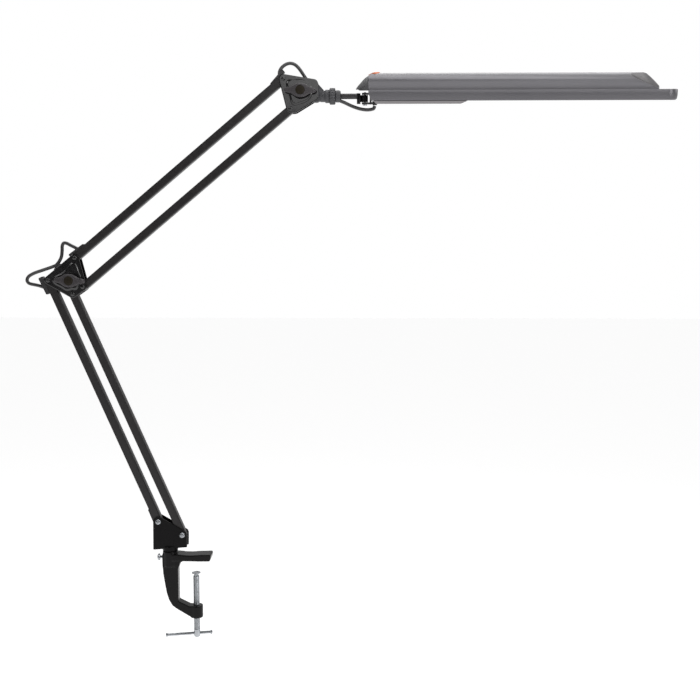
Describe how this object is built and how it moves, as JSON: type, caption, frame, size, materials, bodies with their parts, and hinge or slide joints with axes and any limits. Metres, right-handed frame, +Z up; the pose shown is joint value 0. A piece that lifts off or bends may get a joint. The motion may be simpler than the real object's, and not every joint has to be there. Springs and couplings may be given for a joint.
{
  "type": "desk lamp",
  "caption": "Clamp-on architect desk lamp: two parallel-bar steel arms on a screw clamp carry a long flat fluorescent head with tilt, roll and swivel.",
  "frame": {"origin": "On the flat underside of the clamp's upper jaw, above the clamp spindle's axis.", "axes": "+X runs from the clamp towards the lamp head along the arms' plane, +Y points to the far side of the arms from the wing knobs, +Z is up."},
  "size_m": [0.8976, 0.0733, 0.8181],
  "materials": {
    "cast_black": "gloss black enamel on a cast clamp",
    "black_paint": "satin black paint on folded steel channel",
    "black_gloss": "gloss black paint on pressed steel plate",
    "zinc_steel": "bright zinc plated steel",
    "spring_steel": "drawn spring wire",
    "black_plastic": "fine-grained black nylon",
    "grey_plastic": "textured dark grey nylon",
    "anthracite": "metallic anthracite lacquer on moulded plastic",
    "dark_texture": "spark-textured dark grey plastic",
    "orange_button": "orange plastic, satin",
    "white_sheet": "white enamelled sheet",
    "white_plastic": "white heat-resistant plastic",
    "ballast_case": "grey plastic case",
    "lamp_glass": "white phosphor-coated glass tubes",
    "clear_plastic": "clear ribbed acrylic",
    "lead_jacket": "smooth black PVC jacket"
  },
  "bodies": {
    "clamp": {"clamp_body": "cast_black"},
    "lock_screw": {"lock_screw": "zinc_steel"},
    "pressure_disc": {"pressure_disc": "zinc_steel"},
    "clamp_spindle": {"clamp_spindle": "zinc_steel"},
    "tommy_bar": {"tommy_bar": "zinc_steel"},
    "base_bracket": {"base_bracket": "black_gloss", "swivel_pin": "zinc_steel", "base_screw_left": "zinc_steel", "base_screw_right": "zinc_steel", "base_nut_left": "zinc_steel", "base_nut_right": "zinc_steel"},
    "lower_bar_left": {"lower_bar_left": "black_paint", "lower_clip_bottom": "black_plastic", "lower_clip_top": "black_plastic", "lower_lead": "lead_jacket"},
    "lower_bar_right": {"lower_bar_right": "black_paint", "lower_spring": "spring_steel"},
    "elbow": {"elbow_plate_front": "black_gloss", "elbow_plate_rear": "black_gloss", "elbow_pin_lower_left": "zinc_steel", "elbow_pin_lower_right": "zinc_steel", "elbow_pin_upper_top": "zinc_steel", "elbow_pin_upper_bottom": "zinc_steel", "elbow_bolt": "zinc_steel", "elbow_spacer": "zinc_steel", "elbow_saddle": "black_plastic", "elbow_lead_lower": "lead_jacket", "elbow_lead_upper": "lead_jacket"},
    "elbow_knob": {"elbow_knob": "black_plastic"},
    "upper_bar_top": {"upper_bar_top": "black_paint", "upper_clip_bottom": "black_plastic", "upper_clip_top": "black_plastic", "upper_lead": "lead_jacket"},
    "upper_bar_bottom": {"upper_bar_bottom": "black_paint", "upper_spring": "spring_steel"},
    "head_bracket": {"head_plate_front": "black_gloss", "head_plate_rear": "black_gloss", "head_pin_top": "zinc_steel", "head_pin_bottom": "zinc_steel", "head_bolt": "zinc_steel", "head_loop_lead": "lead_jacket"},
    "head_knob": {"head_knob": "black_plastic"},
    "tilt_stub": {"tilt_stub": "grey_plastic"},
    "collar_ring": {"collar_ring": "grey_plastic"},
    "head_rod": {"swivel_rod": "black_plastic", "rod_sleeve": "grey_plastic", "lead_to_head": "lead_jacket"},
    "head": {"head_shell": "anthracite", "head_end_cap": "dark_texture", "ballast_cover": "anthracite", "swivel_bracket": "black_plastic", "swivel_bolt": "zinc_steel", "lead_grommet": "black_plastic", "reflector": "white_sheet", "diffuser": "clear_plastic", "lamp_tube": "lamp_glass", "lamp_holder": "white_plastic", "ballast": "ballast_case"},
    "power_button": {"power_button": "orange_button"}
  },
  "joints": [
    {"name": "lock_screw_turn", "type": "hinge", "parent": "clamp", "child": "lock_screw", "pos_m": [-0.0536, 0, 0.0022], "axis": [1, 0, 0], "range_deg": [-180, 180]},
    {"name": "clamp_travel", "type": "slide", "parent": "clamp", "child": "pressure_disc", "axis": [0, 0, 1], "range_m": [-0.042, 0.018]},
    {"name": "clamp_screw", "type": "hinge", "parent": "pressure_disc", "child": "clamp_spindle", "pos_m": [0, 0, -0.07], "axis": [0, 0, 1], "range_deg": [-10081, 4321]},
    {"name": "tommy_bar_slide", "type": "slide", "parent": "clamp_spindle", "child": "tommy_bar", "axis": [0.9781, 0.2079, 0], "range_m": [-0.0145, 0.0375]},
    {"name": "base_swivel", "type": "hinge", "parent": "clamp", "child": "base_bracket", "pos_m": [-0.0368, 0, 0.014], "axis": [0, 0, 1], "range_deg": [-170, 170]},
    {"name": "lower_arm", "type": "hinge", "parent": "base_bracket", "child": "lower_bar_left", "pos_m": [-0.0521, 0, 0.0558], "axis": [0, 1, 0], "range_deg": [-15, 80]},
    {"name": "lower_link", "type": "hinge", "parent": "base_bracket", "child": "lower_bar_right", "pos_m": [-0.0179, 0, 0.0365], "axis": [0, 1, 0], "range_deg": [-15, 80]},
    {"name": "elbow_level", "type": "hinge", "parent": "lower_bar_left", "child": "elbow", "pos_m": [-0.20083, 0, 0.40114], "axis": [0, 1, 0], "range_deg": [-80, 15], "deforming": ["elbow_lead_lower"]},
    {"name": "elbow_knob_turn", "type": "hinge", "parent": "elbow", "child": "elbow_knob", "pos_m": [-0.1685, 0, 0.401], "axis": [0, 1, 0], "range_deg": [-180, 180]},
    {"name": "upper_arm", "type": "hinge", "parent": "elbow", "child": "upper_bar_top", "pos_m": [-0.16232, 0, 0.43244], "axis": [0, 1, 0], "range_deg": [-40, 60], "deforming": ["elbow_lead_upper"]},
    {"name": "upper_link", "type": "hinge", "parent": "elbow", "child": "upper_bar_bottom", "pos_m": [-0.15213, 0, 0.39184], "axis": [0, 1, 0], "range_deg": [-40, 60]},
    {"name": "head_level", "type": "hinge", "parent": "upper_bar_top", "child": "head_bracket", "pos_m": [0.13116, 0, 0.67696], "axis": [0, 1, 0], "range_deg": [-60, 40], "deforming": ["head_loop_lead"]},
    {"name": "head_knob_turn", "type": "hinge", "parent": "head_bracket", "child": "head_knob", "pos_m": [0.155, 0, 0.6602], "axis": [0, 1, 0], "range_deg": [-180, 180]},
    {"name": "head_tilt", "type": "hinge", "parent": "head_bracket", "child": "tilt_stub", "pos_m": [0.155, 0, 0.6602], "axis": [0, 1, 0], "range_deg": [-60, 60]},
    {"name": "collar_turn", "type": "hinge", "parent": "tilt_stub", "child": "collar_ring", "pos_m": [0.198, 0, 0.6536], "axis": [1, 0, 0], "range_deg": [-90, 90]},
    {"name": "head_roll", "type": "hinge", "parent": "tilt_stub", "child": "head_rod", "pos_m": [0.21, 0, 0.6536], "axis": [1, 0, 0], "range_deg": [-90, 80]},
    {"name": "head_swivel", "type": "hinge", "parent": "head_rod", "child": "head", "pos_m": [0.2429, 0, 0.6536], "axis": [0, -0.1305, 0.9914], "range_deg": [-70, 70], "deforming": ["lead_to_head"]},
    {"name": "power_press", "type": "slide", "parent": "head", "child": "power_button", "axis": [0.2419, 0.1266, -0.962], "range_m": [0, 0.002], "stiffness_N_per_m": 600, "springref_m": -0.001}
  ],
  "couplings": [
    {"joint": "clamp_screw", "follows": "clamp_travel", "rad_per_m": 4188.8},
    {"joint": "lower_link", "follows": "lower_arm", "ratio": 1},
    {"joint": "elbow_level", "follows": "lower_arm", "ratio": -1},
    {"joint": "upper_link", "follows": "upper_arm", "ratio": 1},
    {"joint": "head_level", "follows": "upper_arm", "ratio": -1}
  ]
}
